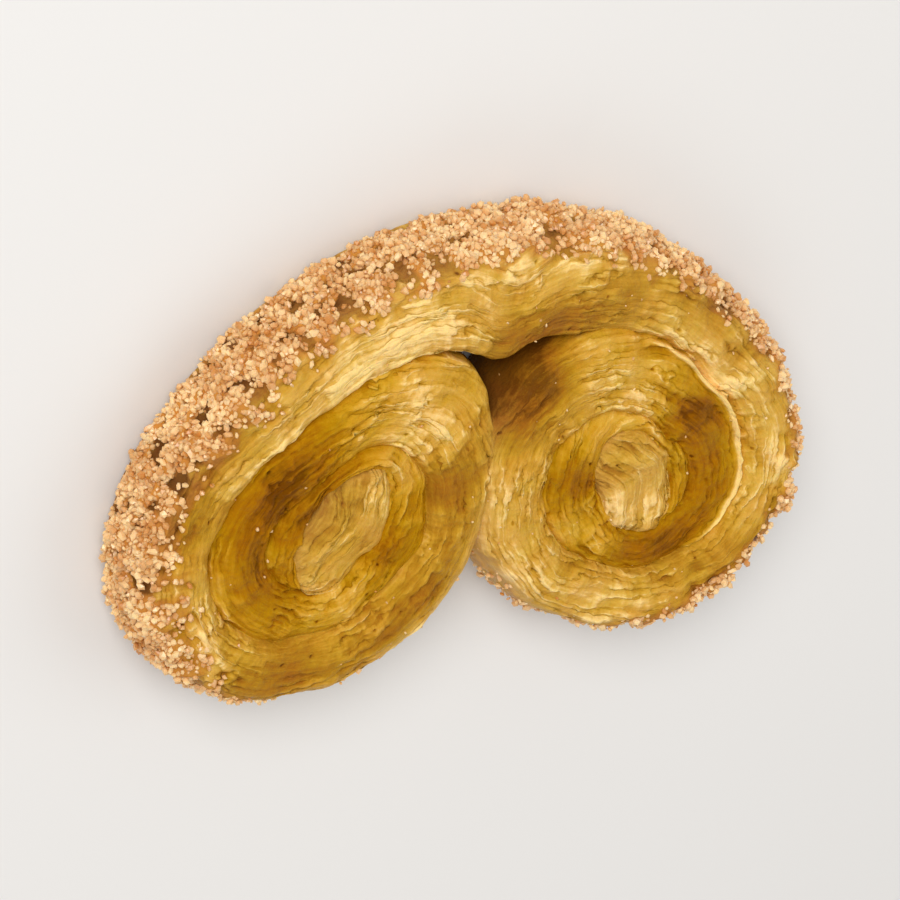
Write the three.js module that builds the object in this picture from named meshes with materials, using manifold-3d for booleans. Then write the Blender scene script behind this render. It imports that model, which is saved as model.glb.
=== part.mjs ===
import * as THREE from "three";
import { mergeVertices } from "three/addons/utils/BufferGeometryUtils.js";
import Module from "manifold-3d";

// A palmier, the palm leaf or elephant ear pastry: a sheet of puff pastry rolled up from both
// ends, sliced, sugared and baked lying flat. Sizes are in millimetres and angles in degrees.
// The slice lies on its flat underside at z = 0. The arch that joins the two rolls is on the
// +Y side, and the rolls lie side by side at -X and +X, with a cleft between them at -Y.

// Height of each part of the sheet above the underside
const ARCH_HEIGHT = 9.0;
const OUTER_TURN_HEIGHT = 8.8;
const INNER_TURN_HEIGHT = 8.0;
const CORE_HEIGHT = 8.5;

// Each roll by its winding angle: 0 at its top, growing outwards and down round the roll.
// reach is the radius at the start, and pitch what one full turn takes off it. oval makes the
// roll longer along ovalAt, and corner swells it towards the hole under the arch. half is half
// the width and half the length of the oval core, which is turned clockwise by turnedBy.
const LEFT = {
  side: -1,
  centre: [-13.6, -6.6],
  reach: 18.1,
  pitch: 5.55,
  oval: 0.9,
  ovalAt: 116,
  corner: 4.5,
  cornerAt: 331,
  cornerWidth: 33,
  core: { centre: [-12.8, -6.1], half: [3.6, 6.0], turnedBy: 28 },
};
const RIGHT = {
  side: 1,
  centre: [16, -6],
  reach: 18.0,
  pitch: 5.7,
  oval: 1.2,
  ovalAt: 106,
  corner: 4.7,
  cornerAt: 330,
  cornerWidth: 47,
  core: { centre: [16.4, -5.6], half: [3.5, 5.6], turnedBy: -28 },
};
const CORNER_FADE = [1, 0.35, 0.1]; // how much of the corner is left in each turn further in
const LAST_WIDTH = 0.7; // the sheet ends where it has thinned to this beside the core

// The arch: how far its outer and inner edges run on from the rolls before they bend over, the
// winding angles at which its inner edge leaves the rolls, and its sag into the hole
const ARCH_FROM = 62;
const OUTER_ARM = [27, 27];
const INNER_ARM = [5, 6];
const HOLE_FROM = [352, 344];
const SAG = { depth: 2.1, at: 0, halfWidth: 3 };

// The sheet's cross-section
const LAP = 0.22; // how far each turn is baked into its neighbour
const SHOULDER = 1.7; // how far the edge of a turn drops into the groove beside it
const SHOULDER_WIDTH = 0.95;
const CROWN = 0.45; // how much the middle of a turn stands above its sides
const FOOT = 0.7; // rounding where a turn meets the underside
const PUFF = 0.45; // how far the walls bulge
const ACROSS = [0, 0.09, 0.24, 0.41, 0.59, 0.76, 0.91, 1]; // points from inner to outer edge
const UP = [0, 0.12, 0.45, 0.78, 1]; // points from the underside to the top

// Angles between two sections in the outer turn, the next one and the last, and where each ends
const STEPS = [10, 15, 20];
const TURN_ENDS = [ARCH_FROM, ARCH_FROM + 240, ARCH_FROM + 480, ARCH_FROM + 880];
const ARCH_SECTIONS = 26;

// Baked unevenness
const WANDER = 0.3; // how far the edges of the sheet wander
const RIDGES = 0.24; // height of the ridges that run along the layers
const SWELLS = 0.35; // height of the blisters and dips

// Sugar crust on the free wall of the arch and outer turns, thinning out below CRUST_FADE
const GRAINS = 150;
const GRAIN_SIZE = [0.65, 1.15]; // smallest and largest, about half a grain's length
const GRAIN_BED = 0.35; // share of that by which a grain is sunk in
const GRAIN_SEED = 41;
const CRUST_FADE = [100, 215];

const LEAST_DETAIL = 0.03; // edges that stand out less than this are merged

// The middle of the outline, which becomes the origin
const MIDDLE = [1.39, -1.18];

const rad = THREE.MathUtils.degToRad;
const gauss = (d) => Math.exp(-d * d);

function seeded(seed) {
  let state = seed;
  return () => {
    state = (state * 48271) % 2147483647;
    return state / 2147483647;
  };
}

// Radius of the outer edge of the sheet at a winding angle
function reachAt(roll, angle) {
  let r = roll.reach - (roll.pitch * angle) / 360;
  r += roll.oval * Math.cos(rad(2 * (angle - roll.ovalAt)));
  CORNER_FADE.forEach((share, turn) => {
    r += share * roll.corner * gauss((angle - roll.cornerAt - 360 * turn) / roll.cornerWidth);
  });
  return r;
}

// Radius of the core's edge seen from the roll's centre, found by stepping outwards
function coreAt(roll, angle) {
  const [halfWide, halfLong] = roll.core.half;
  const turn = rad(roll.core.turnedBy);
  for (let r = 9; r > 0; r -= 0.05) {
    const [x, y] = onRoll(roll, angle, r);
    const dx = x - roll.core.centre[0];
    const dy = y - roll.core.centre[1];
    const wide = dx * Math.cos(turn) - dy * Math.sin(turn);
    const long = dx * Math.sin(turn) + dy * Math.cos(turn);
    if ((wide / halfWide) ** 2 + (long / halfLong) ** 2 < 1) return r;
  }
  return 0;
}

function onRoll(roll, angle, r) {
  const a = rad(angle);
  return [roll.centre[0] + roll.side * r * Math.sin(a), roll.centre[1] + r * Math.cos(a)];
}

// A section of the sheet is its two edges in plan, its height and its place along the sheet.
function turnSection(roll, angle) {
  const outer = reachAt(roll, angle) + LAP;
  const inner = Math.max(reachAt(roll, angle + 360), coreAt(roll, angle)) - LAP;
  const deep = THREE.MathUtils.smoothstep(angle, ARCH_FROM + 240, ARCH_FROM + 420);
  return {
    outer: onRoll(roll, angle, outer),
    inner: onRoll(roll, angle, inner),
    height: THREE.MathUtils.lerp(OUTER_TURN_HEIGHT, INNER_TURN_HEIGHT, deep),
    along: 60 + roll.side * (rad(angle) * (outer + inner)) / 2,
    width: outer - inner,
  };
}

function turnSections(roll, from, to, step) {
  const sections = [];
  for (let angle = from; angle <= to; angle += step) {
    const section = turnSection(roll, angle);
    if (section.width < LAST_WIDTH) break;
    sections.push(section);
  }
  return sections;
}

const flat = ([x, y]) => new THREE.Vector3(x, y, 0);

// A cubic curve that leaves one edge point and enters the other along the directions given
function bridge(a, aheadOfA, b, aheadOfB, arms) {
  const p = [flat(a), flat(a), flat(b), flat(b)];
  p[1].addScaledVector(flat(a).sub(flat(aheadOfA)).normalize(), arms[0]);
  p[2].addScaledVector(flat(b).sub(flat(aheadOfB)).normalize(), arms[1]);
  return new THREE.CubicBezierCurve3(p[0], p[1], p[2], p[3]);
}

// The arch runs over both rolls. Its outer edge is one curve, and its inner edge lies on the
// left roll, crosses above the hole and lies on the right roll.
function archSections() {
  const ends = [LEFT, RIGHT].map((roll) => ({
    at: turnSection(roll, ARCH_FROM),
    on: turnSection(roll, ARCH_FROM + 1),
  }));
  const [left, right] = ends;
  const outer = bridge(left.at.outer, left.on.outer, right.at.outer, right.on.outer, OUTER_ARM);
  const lying = [LEFT, RIGHT].map((roll, i) => {
    const points = [];
    for (let angle = ARCH_FROM + 360; angle >= HOLE_FROM[i]; angle -= 4) {
      points.push(flat(onRoll(roll, angle, reachAt(roll, angle) - LAP)));
    }
    return points;
  });
  const last = lying.map((points) => points.slice(-2).map((p) => [p.x, p.y]));
  const over = bridge(last[0][1], last[0][0], last[1][1], last[1][0], INNER_ARM);
  const inner = new THREE.CatmullRomCurve3([
    ...lying[0],
    ...over.getPoints(6).slice(1, -1),
    ...lying[1].reverse(),
  ]);
  inner.arcLengthDivisions = 400;
  const outerPoints = outer.getSpacedPoints(ARCH_SECTIONS);
  const innerPoints = inner.getSpacedPoints(ARCH_SECTIONS);
  return outerPoints.map((o, i) => {
    const part = i / ARCH_SECTIONS;
    const { x, y } = innerPoints[i];
    return {
      outer: [o.x, o.y],
      inner: [x, y - SAG.depth * gauss((x - SAG.at) / SAG.halfWidth)],
      height: THREE.MathUtils.lerp(OUTER_TURN_HEIGHT, ARCH_HEIGHT, Math.sin(Math.PI * part)),
      along: 30 + 60 * part,
    };
  });
}

// Unevenness from a few crossed waves
function ridges(across, along) {
  const layers = Math.sin(across * 19 + 1.3 * Math.sin(along * 0.21) + along * 0.05);
  const breaks = 0.6 + 0.4 * Math.sin(along * 0.83 + across * 5);
  return RIDGES * layers * breaks;
}

function swells(x, y) {
  const a = Math.sin(0.61 * x + 0.35 * y + 0.4) * Math.sin(0.52 * y - 0.27 * x + 1.1);
  const b = Math.sin(1.37 * x - 0.9 * y + 2.0) * Math.sin(1.13 * y + 0.71 * x);
  return SWELLS * (0.6 * a + 0.4 * b);
}

function wander(x, y, z) {
  return WANDER * Math.sin(0.55 * x + 0.9 * z + 1.0) * Math.sin(0.63 * y - 0.6 * z + 0.3);
}

// Point of the sheet at a section: across runs 0 to 1 from the inner to the outer edge, and up
// 0 to 1 from the underside to the top.
function sheetPoint(section, across, up) {
  const { outer, inner, height, along } = section;
  const width = Math.hypot(outer[0] - inner[0], outer[1] - inner[1]);
  const toOut = [(outer[0] - inner[0]) / width, (outer[1] - inner[1]) / width];
  const fromEdge = Math.min(across, 1 - across) * width;
  const shoulder = SHOULDER * gauss(fromEdge / Math.min(SHOULDER_WIDTH, 0.3 * width));
  const crown = CROWN * (2 * across - 1) ** 2;
  const x0 = inner[0] + toOut[0] * across * width;
  const y0 = inner[1] + toOut[1] * across * width;
  const top = height - shoulder - crown + ridges(across, along) + swells(x0, y0);
  const atEdge = across === 0 ? -1 : across === 1 ? 1 : 0;
  let shift = 0;
  if (up === 0) shift = -FOOT * Math.sign(across - 0.5) * gauss(fromEdge / 1.2);
  else if (atEdge) shift = atEdge * PUFF * Math.sin(Math.PI * Math.min(up * 1.15, 1));
  shift += wander(x0, y0, up * 4);
  const z = THREE.MathUtils.lerp(section.lift || 0, top, up);
  return [x0 + toOut[0] * shift, y0 + toOut[1] * shift, z];
}

// The section past an end of a length of sheet, drawn in on all sides so that it lies inside
// the length it is joined to
function tongue(end, before) {
  const past = (a, b, c) => [0, 1].map((i) => a[i] + (a[i] - b[i]) * 0.3 + (c[i] - a[i]) * 0.12);
  return {
    outer: past(end.outer, before.outer, end.inner),
    inner: past(end.inner, before.inner, end.outer),
    height: end.height - 0.6,
    along: end.along,
    lift: 0.5,
  };
}

// A length of sheet: a box with a row of faces for each section, bent onto the sections
function sheet(length) {
  const ends = [tongue(length[0], length[1]), tongue(length.at(-1), length.at(-2))];
  const sections = [ends[0], ...length, ends[1]];
  const rows = sections.length - 1;
  const box = new THREE.BoxGeometry(rows, 1, 1, rows, UP.length - 1, ACROSS.length - 1);
  const position = box.getAttribute("position");
  for (let i = 0; i < position.count; i++) {
    const section = sections[Math.round(position.getX(i) + rows / 2)];
    const up = UP[Math.round((position.getY(i) + 0.5) * (UP.length - 1))];
    const across = ACROSS[Math.round((0.5 - position.getZ(i)) * (ACROSS.length - 1))];
    position.setXYZ(i, ...sheetPoint(section, across, up));
  }
  return box;
}

// The core of a roll: the end of the sheet folded on itself, a low oval dome
function core(roll) {
  const profile = [
    [0, 0],
    [0.85, 0],
    [1, 0.08],
    [1, 0.8],
    [0.95, 0.92],
    [0.8, 0.985],
    [0.55, 1],
    [0.28, 1.01],
    [0, 1],
  ].map(([r, up]) => new THREE.Vector2(r, up));
  const dome = new THREE.LatheGeometry(profile, 22);
  dome.rotateX(Math.PI / 2);
  dome.scale(roll.core.half[0] + LAP, roll.core.half[1] + LAP, CORE_HEIGHT);
  dome.rotateZ(-rad(roll.core.turnedBy));
  dome.translate(roll.core.centre[0], roll.core.centre[1], 0);
  const position = dome.getAttribute("position");
  for (let i = 0; i < position.count; i++) {
    const [x, y, z] = [position.getX(i), position.getY(i), position.getZ(i)];
    const uneven = swells(x, y) + ridges((x + 0.4 * y) / 5, y);
    position.setZ(i, z * (1 + uneven / CORE_HEIGHT));
  }
  return dome;
}

// The crust: angular grains bedded in the free wall and the top edge beside it. Grains go where
// they are furthest from those already placed, the largest first, and thin out round the rolls.
function crust(rim) {
  const random = seeded(GRAIN_SEED);
  const placed = [];
  const grains = [];
  const candidate = () => {
    const station = rim[Math.floor(random() * rim.length)];
    const onTop = random() < 0.22;
    const across = onTop ? 0.8 + 0.17 * random() : 1;
    const up = onTop ? 1 : 0.1 + 0.82 * random();
    const { outer, inner } = station.section;
    const out = onTop ? new THREE.Vector3(0, 0, 1) : flat(outer).sub(flat(inner)).normalize();
    const at = new THREE.Vector3(...sheetPoint(station.section, across, up));
    return { at, out, kept: random() < station.share };
  };
  for (let n = 0; n < GRAINS; n++) {
    const size = THREE.MathUtils.lerp(GRAIN_SIZE[1], GRAIN_SIZE[0], n / GRAINS);
    let best = null;
    for (let tries = 0; tries < 24; tries++) {
      const { at, out, kept } = candidate();
      if (!kept) continue;
      const gap = Math.min(99, ...placed.map((p) => p.distanceTo(at)));
      if (!best || gap > best.gap) best = { at, out, gap };
    }
    placed.push(best.at.clone());
    best.at.addScaledVector(best.out, -GRAIN_BED * size);
    const grain = new THREE.BoxGeometry(1.5, 0.9 + 0.6 * random(), 0.9 + 0.6 * random());
    grain.scale(size, size, size);
    grain.rotateX(random() * Math.PI);
    grain.rotateZ(random() * Math.PI);
    grain.translate(best.at.x, best.at.y, Math.max(best.at.z, 1.3 * size));
    grains.push(grain);
  }
  return grains;
}

const wasm = await Module();
wasm.setup();

function solid(geometry) {
  const bare = new THREE.BufferGeometry();
  bare.setAttribute("position", geometry.getAttribute("position"));
  bare.setIndex(geometry.index);
  const merged = mergeVertices(bare, 1e-4);
  return new wasm.Manifold(
    new wasm.Mesh({
      numProp: 3,
      vertProperties: merged.getAttribute("position").array,
      triVerts: new Uint32Array(merged.index.array),
    }),
  );
}

function geometryOf(body) {
  const mesh = body.getMesh();
  const geometry = new THREE.BufferGeometry();
  geometry.setAttribute("position", new THREE.BufferAttribute(mesh.vertProperties, 3));
  geometry.setIndex(new THREE.BufferAttribute(mesh.triVerts, 1));
  return geometry;
}

// The rolled sheet in lengths that don't lie on themselves, and the two cores
const arch = archSections();
const lengths = [arch];
for (let n = 0; n < STEPS.length; n++) {
  lengths.push(turnSections(LEFT, TURN_ENDS[n], TURN_ENDS[n + 1], STEPS[n]).reverse());
  lengths.push(turnSections(RIGHT, TURN_ENDS[n], TURN_ENDS[n + 1], STEPS[n]));
}
const rim = arch.map((section) => ({ section, share: 1 }));
for (const roll of [LEFT, RIGHT]) {
  for (let angle = ARCH_FROM; angle < CRUST_FADE[1]; angle += STEPS[0]) {
    const share = 1 - 0.75 * THREE.MathUtils.smoothstep(angle, ...CRUST_FADE);
    rim.push({ section: turnSection(roll, angle), share });
  }
}
const pieces = [...lengths.map(sheet), core(LEFT), core(RIGHT), ...crust(rim)].map(solid);

// One body, with the slits that the turns close filled and the loose scraps left out
const joined = pieces.slice(1).reduce((body, piece) => body.add(piece), pieces[0]);
const bodies = joined.simplify(LEAST_DETAIL).decompose();
const body = bodies.reduce((most, next) => (next.volume() > most.volume() ? next : most));

const palmier = new THREE.Mesh(
  geometryOf(body),
  new THREE.MeshStandardMaterial({ color: "#c8943a", roughness: 0.65, metalness: 0 }),
);
palmier.name = "palmier";
palmier.position.set(-MIDDLE[0], -MIDDLE[1], 0);
const part = new THREE.Group();
part.add(palmier);

export default part;
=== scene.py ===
"""A palmier: puff pastry rolled up from both ends, sliced, sugared and baked lying flat."""

import math

import bpy
from mathutils import Matrix, Vector


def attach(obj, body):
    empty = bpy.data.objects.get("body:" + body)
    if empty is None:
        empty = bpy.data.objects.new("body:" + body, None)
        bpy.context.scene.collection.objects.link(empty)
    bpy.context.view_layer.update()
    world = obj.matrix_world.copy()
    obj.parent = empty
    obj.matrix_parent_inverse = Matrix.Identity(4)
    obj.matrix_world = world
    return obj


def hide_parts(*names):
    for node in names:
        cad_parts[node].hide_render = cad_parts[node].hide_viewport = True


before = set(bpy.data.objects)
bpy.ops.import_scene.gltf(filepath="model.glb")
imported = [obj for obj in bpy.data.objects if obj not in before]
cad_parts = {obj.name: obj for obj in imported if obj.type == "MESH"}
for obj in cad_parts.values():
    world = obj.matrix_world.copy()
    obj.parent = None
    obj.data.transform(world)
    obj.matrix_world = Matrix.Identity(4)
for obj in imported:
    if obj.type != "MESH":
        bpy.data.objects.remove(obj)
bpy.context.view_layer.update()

bl_info = {
    "name": "Palmier",
    "version": (1, 0, 0),
    "blender": (4, 5, 0),
    "location": "View3D > Sidebar > Palmier",
    "description": "Makes a sugared palmier pastry and a plain studio for it",
    "category": "Add Mesh",
}

MM = 0.001
FLOAT = "NodeSocketFloat"

# How the sheet is wound, in millimetres and degrees of winding, as in the solid part
CORNER_FADE = (1, 0.35, 0.1)  # how much of the corner shows on each turn
ARCH_FROM = 62  # winding angle at which each roll begins at the arch
OUTER_ARMS = (27, 27)  # how far the arch's outer edge keeps the direction of each roll
INNER_ARMS = (5, 6)  # the same for its inner edge, over the hole
HOLE_FROM = (352, 344)  # winding angles at which the inner edge leaves the rolls
LEAVING_STEPS = 8  # half degrees of winding from which its direction there is taken
CURVE_POINTS = (400, 60)  # points of the outer and of the inner curve
SAG = {"depth": 2.1, "at": 0, "half_width": 3}  # the arch sags between the rolls
LAP = 0.22  # how far two turns that touch run into each other
LAST_WIDTH = 0.7  # the sheet ends where it would be narrower
MIDDLE = (1.39, -1.18)  # middle of the outline, which is moved to the origin
SPLITS = (182, 422, 662, 942)  # winding angles at which one length of the sheet ends
CORE_FROM, CORE_SPAN = 0.03, 0.94  # part of its oval that a core's sections cover
CORE_STEPS, CORE_STEP = 180, 0.05  # how finely the edge of a core is looked for
CORE_APART = (-40, 20)  # how far beyond the sheet a core's places lie, so its layers differ
SPACING = 0.3  # distance between two sections

# A length runs on inside the next one: how far, and at its root and further on to its tip, the
# share of its width that it loses, and how much its top sinks and its underside lifts
TONGUE = 1.0
TONGUE_NARROWS = (0.05, 0.12)
TONGUE_SINKS = (0.15, 0.6)
TONGUE_LIFTS = (0.1, 0.5)

# Points of the outline of a section: up the inner wall, over the top, down the rim and back
WALL_POINTS, TOP_POINTS, RIM_POINTS, UNDER_POINTS = 6, 38, 22, 9

# Winding angles over which something begins, ends or changes
LOWER = (ARCH_FROM + 240, ARCH_FROM + 420)  # height of the outer turn to that of the inner
TONED = (345, 385)  # browning of the outer turn to that of the inner
GLAZED = (300, 380)  # dryness of the outer turn to that of the inner
RIM_ENDS = (240, 330)  # the free rim is rounder than a seam
WALLED = (285, 315)  # a wall between two turns stays as brown as they are inside
LAST_TURN = (560, 640)  # the last turn has sharper edges
JOIN_BEGINS, JOIN_ENDS = (262, 290), (335, 355)  # the two rolls lean on each other
LIP_BEGINS, LIP_ENDS = (345, 375), (465, 500)  # the right inner turn has a torn lip
SUGAR_ENDS = (225, 265)  # the last sugar of the rim

# What wanders along the sheet: its mean, how far it wanders, how often, and where it starts
INNER_SEAM = (0.95, 0.35, 2.3, 1)  # how far a turn is rounded down at its edges, in millimetres
OUTER_SEAM = (0.85, 0.35, 1.9, 0)
ARCH_SEAM = (1.3, 0.4, 11, 0)
CORE_EDGES = ((1, 0.09, 6, 1), (1, 0.09, 7, 4))  # as a share of the oval

# More heights and widths in millimetres of what the sections tell
RIM_ROUNDER, LAST_SHARPER = 0.75, 0.45
JOINED_SHARPER = 0.7  # as a share
ARCH_RIM = 1.7
CORE_SEAMS = (0.5, 0.45)
HOLE_ROUNDER, HOLE_BEGINS, HOLE_ENDS = 0.7, (0.36, 0.44), (0.5, 0.6)
ARCH_SPILL, ARCH_SPILL_MORE, ARCH_SPILL_OVER = 1.2, 0.5, (0.3, 0.7)
ARCH_CLOSENESS, CORE_CLOSENESS = 0.85, 2.4  # sections for each spacing of length
CORE_SAG = 0.5  # how much lower a core is at its two ends
CORE_FOLD = 0.3  # depth of the fold along a core
CORE_BLUNT = 2.3  # 2 makes an ellipse, and more makes its ends blunter
TURN_WALL, FREE_WALL, HOLE_WALL_SHADE, CORE_WALL = 0.55, 0.05, 1.0, 0.4  # how brown the walls are; the hole's wall is painted dark brown as painted shade
# Beyond sugar_end the crust thins by a share over some degrees, and its spill fades out
SUGAR_THINS, THINS_OVER, SPILL_FADES = 0.8, (-10, 70), 45

# What each section tells the tree, three numbers under each name
FACTS = ("rise", "browned", "browned_on", "seams", "place", "walls")

# Inputs of the trees that are named like a size property
RELIEF_SIZES = ("Layer height", "Layer spacing", "Groove", "Blister height")
SHEET_SIZES = ("Shoulder", "Crown", "Foot", "Bulge", *RELIEF_SIZES)

NOISE = (0.3, 0.7)  # noise lies mostly between these
NARROW_NOISE = (0.35, 0.65)

# The layers: how wide along and across their drifts are, and by how many layers they shift them
LAYER_DRIFTS = ((16 * MM, 3.2 * MM, 4.5), (1.2 * MM, 0.8 * MM, 1.0))
LEVEL_LENGTH = 4.5 * MM  # along a layer, its level changes over about this length
LEVEL_STRIDE = 7.37  # from one layer to the next in the noise, far enough to be unlike
LEVEL_NOISE = (4.0, 0.68)  # detail and roughness
LEAN = (-0.9, 0.9)  # how a layer leans on the next one, as a share of the layer height
BORDER_SHARPNESS = 4.0
LIFTED = (0.4, 0.58)  # levels between which the torn edge of a layer lifts
PARTED_PATCH = 4.5 * MM  # patches in which the layers have parted
PARTED, PARTED_SHARES = (0.38, 0.56), (0.3, 1.2)  # from fused to parted
BLISTER_WIDTH = 5.0 * MM
CRUMBS = ((1.6 * MM, 0.14 * MM), (0.7 * MM, 0.1 * MM))  # width and height of knobs and crumbs
PIT_CELL = 2.4 * MM  # one pit at most in each cell
PIT_CHANCE = 0.86  # share of the cells without a pit
PIT_DEPTH = 0.35 * MM
PIT_EDGE = (0.02, 0.1)  # in cells, from its floor to its border
WIDEST_SHOULDER = 0.36  # as a share of the width of the turn
WANDER, WANDER_WIDTH = 1.1 * MM, 4.5 * MM  # how far the walls wander, and over what width
LIP_PLACE = (0.3 * MM, 0.9 * MM)  # where the lip is, from the outer edge
FOLD_PLACE = (0.0, 0.3)  # the fold of a core, from its middle to its edge at 1
LUMP_RISE, WANDER_RISE = 9 * MM, 4 * MM  # what a whole wall measures to the noise
CLOSING_HEIGHT = 4 * MM  # where the hidden ends close
MERGED_WITHIN = 1e-7

# Where the browning changes: depth below the face, height of the underside, distance from a rim
WALL_DEPTH = (1.6 * MM, 4.0 * MM)
UNDERSIDE = (0.3 * MM, 1.2 * MM)
DRY_RIM = (0.0, 1.8 * MM)
UNDER_TONE = 0.25  # how much browner the underside is
CRUST_CARAMEL_AND_SHADE = 0.6  # and crumb under sugar, browned by melted sugar and as painted shade between the crystals
FACE_ABOVE, FACE_BELOW = (0.86, 0.98), (0.1, 0.02)  # the two faces, as a share of the height

# The sugar: its crust is lumpy, and its border ragged
RAGGED = (0.0, 2.2)  # least and greatest share of the spill
SUGAR_ABOVE = (0.0, 0.12)  # where the sugar begins, as a share of the height
CLUMPED, CLUMP_SHARES = (0.37, 0.48), (0.15, 1.0)  # between the lumps it is sparse
LEAST_SPILL = 0.3 * MM
LUMP_HEIGHT, LUMP_WIDTH = 0.6 * MM, 1.9 * MM
CRYSTAL_BLOCKS = (
    (1.0, 0.8, 0.72),
    (1.0, 0.92, 0.6),
    (1.15, 0.7, 0.65),
    (0.9, 0.85, 0.8),
    (1.05, 0.75, 0.8),
    (0.95, 0.9, 0.7),
)
CRYSTAL_RADIUS = 0.56  # of the ball that is made blocky, which then is about one long
CRYSTAL_CHIPS = (0.62, 1.15)  # each corner of a block is moved in or out by a share
CRYSTAL_SCALES = (0.5, 1.25)  # smallest and largest, against the average
CRYSTAL_LEVELS = (0.7 * MM, 8.9 * MM)  # lowest and highest place of a crystal's middle
STRAY_SHARE = 0.006  # share of the crystals that lie on bare crumb
STRAY_CRUST, STRAY_SIZES = (0.0, 0.2), (0.42, 1.0)  # where the crust is thin they are smaller
TURN_SEED, SCALE_SEED, KIND_SEED, TOAST_SEED = 11, 21, 31, 41
# Two beds, the upper one sparse: gap between crystals as a share of the least one, most crystals
# to the square metre, how far they stand out as a share of their size, and their scale
CRYSTAL_BEDS = ((1.0, 2e7, -0.05, 1.0), (1.5, 5e6, 0.35, 0.95))

# Finishes: where each colour of the crust stands between 0 cream and 1 burnt
TONE_STOPS = {
    "cream": 0.0,
    "pale": 0.22,
    "gold": 0.43,
    "amber": 0.62,
    "brown": 0.82,
    "burnt": 1.0,
}
STREAK = (0.14, -0.16)  # tone of a layer, from its lowest level to its highest
TORN_CARAMEL_AND_SHADE = 0.2  # caramel and painted shade in the groove at the torn edge of a layer
PALE_EDGE_AND_HIGHLIGHT, PALE_LINE_AT = -0.26, 0.28  # dry edge of a leaf, painted pale also as a painted highlight, and how far off the torn edge
# pits and dips are painted darker, as caramel and as painted shade in the hollows, and leaves vary
# at random
PIT_CARAMEL_AND_SHADE, DIP_CARAMEL_AND_SHADE, LEAF_TONE = 0.4, (0.08, -0.06), (0.09, -0.09)
CARAMEL, CARAMEL_FILLS = (0.48, 0.75), (1.0, 0.3)  # dark caramel evens the layers out
GLOSSY, GLOSS = (0.25, 0.8), (0.4, 0.16)  # roughness from pale crumb to dark caramel
DIPS = (-0.4 * MM, 0.3 * MM)
DRY_GREYER = -0.06  # saturation that floury crumb loses
MELTED = (0.55, 0.95)  # where the crystals lie thick
PARTED_DULLER = 0.12
STANDS_OUT = (1.1, -0.5, 0.5)  # fine relief of a layer's level, its torn edge and its pale edge
BLOTCHES = ((3.0 * MM, 0.045), (0.7 * MM, 0.05))  # uneven heat and mottled crumb
LEAF = (4.0 * MM, 0.32 * MM, 0.8 * MM)  # length, thickness and depth of the leaves of dough
FINE_CRUMB = 0.45 * MM
HUE_PATCH, HUE_SHIFT = 2.5 * MM, (0.49, 0.4985)  # 0.5 leaves the hue, and less is more orange
TOASTED_PATCH, TOASTED_MORE = 3 * MM, (-0.35, 0.4)
TOASTED_BY_CHANCE = 0.75  # how much each crystal differs

# The studio, in metres
FLOOR_HALF, FLOOR_GAP = 1.5, 0.02 * MM
LIGHTS = (  # name, place, width and power in watts
    ("key_light", (-0.32, 0.34, 0.42), 0.36, 2.8),
    ("fill_light", (0.45, 0.1, 0.5), 0.5, 0.8),
    ("front_light", (-0.1, -0.5, 0.45), 0.4, 0.5),
)
LOOKED_AT = (0.0, 0.0, 4.0 * MM)
CAMERA_RIGHT = (0.858, 0.128, 0.497)
CAMERA_BACK = (-0.497, 0.448, 0.743)
CAMERA_SHIFT = (-2.2 * MM, -0.9 * MM)  # to the right and up in the picture
VIEW_WIDTH = 77 * MM  # what the picture shows across
SENSOR_WIDTH = 36

# How brown the sheet is, from 0 cream to 1 burnt, and the spots where it is browner or, with a
# minus, paler. A spot has its place along the sheet (the winding angle, or the percent of the
# arch or the core) and its half length, its place across from the inner edge at 0 to the outer
# edge at 1 and its half width, and what it adds.
OUTER_TURN = 0.45
INNER_TURN = 0.6
ARCH = 0.3
CORE = 0.4
LEFT_SPOTS = (
    (75, 20, 0.75, 0.25, 0.3),  # amber beside the sugar
    (120, 30, 0.5, 0.5, -0.3),  # pale lower left
    (160, 20, 0.5, 0.5, 0.3),  # brown corner
    (220, 40, 0.5, 0.25, 0.4),  # amber band round the bottom
    (220, 50, 1.0, 0.25, -0.5),  # pale edge beside the cleft
    (290, 20, 0.25, 0.5, 0.3),  # amber over the cleft
    (325, 20, 0.25, 0.5, -0.4),  # pale crest below the arch
    (400, 30, 0.5, 0.5, 0.3),  # caramel ring, top
    (450, 50, 0.25, 0.5, 0.3),  # caramel ring, left
    (470, 30, 1.0, 0.25, -0.4),  # pale layer outside the ring
    (560, 30, 0.5, 0.5, -0.3),  # pale layers below the core
    (610, 20, 0.25, 0.5, 0.3),  # amber beside the core
    (675, 25, 0.75, 0.75, -0.4),  # pale crest of the inner turn
    (760, 40, 0.5, 1.0, 0.3),  # caramel where the sheet ends
)
RIGHT_SPOTS = (
    (90, 40, 0.5, 0.5, -0.3),  # pale right side
    (90, 40, 0.9, 0.15, 0.3),  # amber line beside the sugar
    (125, 15, 0.5, 0.5, 0.3),  # brown lower right
    (155, 20, 1.0, 0.25, 0.3),  # brown edge at the bottom
    (185, 25, 0.5, 0.25, -0.4),  # pale streak along the bottom
    (250, 40, 0.75, 0.5, -0.3),  # pale side of the cleft
    (310, 15, 1.0, 0.5, 0.8),  # caramel in the mouth of the hole
    (345, 25, 0.25, 0.5, -0.3),  # pale crest
    (400, 20, 0.5, 0.5, 0.3),  # caramel ring, top right
    (430, 50, 1.0, 0.15, -0.6),  # bright torn edge of the inner turn: pale crumb with a painted highlight
    (450, 40, 0.25, 0.5, 0.2),  # caramel ring, right
    (510, 30, 0.5, 0.5, 0.3),  # caramel ring, bottom
    (600, 30, 0.5, 0.5, -0.3),  # pale layers left of the core
    (640, 20, 0.5, 0.5, 0.3),  # amber streak
    (700, 30, 0.75, 0.75, -0.4),  # pale crest of the inner turn
    (760, 40, 0.25, 1.0, -0.2),  # pale end of the sheet
)
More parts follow.
